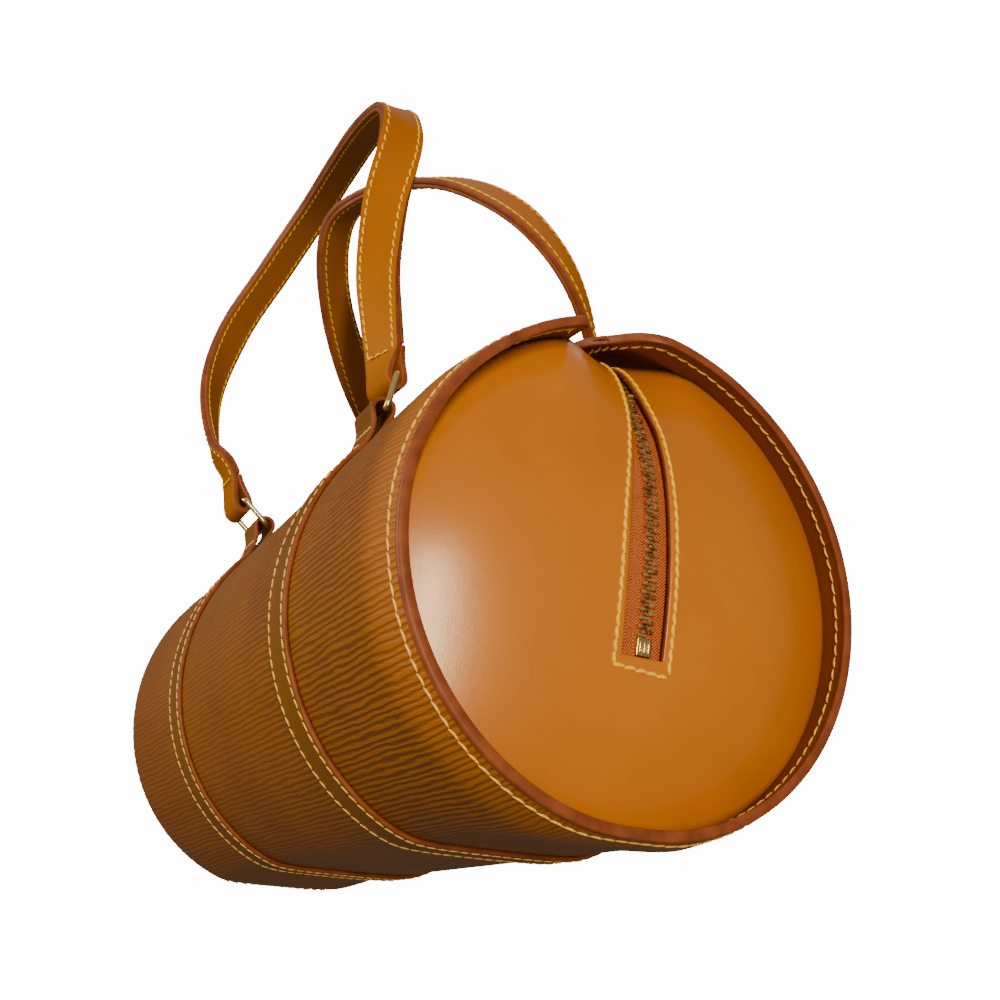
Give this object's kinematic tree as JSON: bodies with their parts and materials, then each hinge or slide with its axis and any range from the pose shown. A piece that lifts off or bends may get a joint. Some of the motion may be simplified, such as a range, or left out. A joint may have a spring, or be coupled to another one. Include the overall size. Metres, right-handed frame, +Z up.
{
  "type": "barrel handbag",
  "caption": "Barrel-shaped leather handbag with domed ends, a zip along the top and over the ends, two bands with metal rings and two twisted strap handles.",
  "frame": {"origin": "on the surface that the bag rests on, under the middle of its whole outline with the handles; the barrel's axis is at y = 0.0026 m", "axes": "+X along the barrel towards the end that the picture shows, +Y across to the picture's right side, +Z up"},
  "size_m": [0.309, 0.1598, 0.2875],
  "materials": {
    "grained_leather": "dark tan leather with fine ridges pressed along the barrel",
    "smooth_leather": "golden tan leather, smooth, soft satin",
    "facing_leather": "smooth brown leather",
    "stiffener": "pressed fibre sheet, out of sight",
    "zip_tape": "rust-brown woven tape",
    "aged_brass": "aged brass teeth",
    "pale_gold": "polished pale gold metal",
    "band_leather": "olive tan leather with painted edges",
    "strap_leather": "tan leather with painted edges",
    "strap_lining_leather": "smooth tan leather",
    "lining_cloth": "brown woven cloth",
    "pocket_cloth": "brown woven cloth"
  },
  "bodies": {
    "bag": {"body_wrap": "grained_leather", "near_end_panel": "smooth_leather", "far_end_panel": "smooth_leather", "left_zip_strip": "smooth_leather", "right_zip_strip": "smooth_leather", "near_rim_facing": "facing_leather", "far_rim_facing": "facing_leather", "wrap_backing": "stiffener", "near_end_board": "stiffener", "far_end_board": "stiffener", "left_zip_tape": "zip_tape", "right_zip_tape": "zip_tape", "left_zip_teeth": "aged_brass", "right_zip_teeth": "aged_brass", "near_zip_stop": "pale_gold", "far_zip_stop": "pale_gold", "near_band": "band_leather", "far_band": "band_leather", "lining_tube": "lining_cloth", "near_end_lining": "lining_cloth", "far_end_lining": "lining_cloth", "inner_pocket": "pocket_cloth"},
    "left_rings": {"near_left_ring": "pale_gold", "far_left_ring": "pale_gold"},
    "left_handle": {"left_strap": "strap_leather", "left_strap_lining": "strap_lining_leather", "near_left_strap_end": "strap_leather", "far_left_strap_end": "strap_leather"},
    "right_rings": {"near_right_ring": "pale_gold", "far_right_ring": "pale_gold"},
    "right_handle": {"right_strap": "strap_leather", "right_strap_lining": "strap_lining_leather", "near_right_strap_end": "strap_leather", "far_right_strap_end": "strap_leather"},
    "slider": {"zip_slider": "pale_gold"},
    "pull": {"zip_pull": "pale_gold"}
  },
  "joints": [
    {"name": "left_rings_swing", "type": "hinge", "parent": "bag", "child": "left_rings", "pos_m": [0, -0.0485, 0.13655], "axis": [1, 0, 0], "range_deg": [0, 75]},
    {"name": "left_handle_swing", "type": "hinge", "parent": "left_rings", "child": "left_handle", "pos_m": [0.0655, -0.046, 0.15073], "axis": [0.994, 0.1027, 0.0374], "range_deg": [0, 20]},
    {"name": "right_rings_swing", "type": "hinge", "parent": "bag", "child": "right_rings", "pos_m": [0, 0.05372, 0.13655], "axis": [-1, 0, 0], "range_deg": [0, 90]},
    {"name": "right_handle_swing", "type": "hinge", "parent": "right_rings", "child": "right_handle", "pos_m": [0.0655, 0.04485, 0.1479], "axis": [-0.9998, -0.014, -0.0131], "range_deg": [0, 70]},
    {"name": "zip_slide", "type": "slide", "parent": "bag", "child": "slider", "axis": [1, 0, 0], "range_m": [0, 0.2]},
    {"name": "pull_swing", "type": "hinge", "parent": "slider", "child": "pull", "pos_m": [-0.1, 0.00261, 0.14845], "axis": [0, -1, 0], "range_deg": [0, 165]}
  ]
}
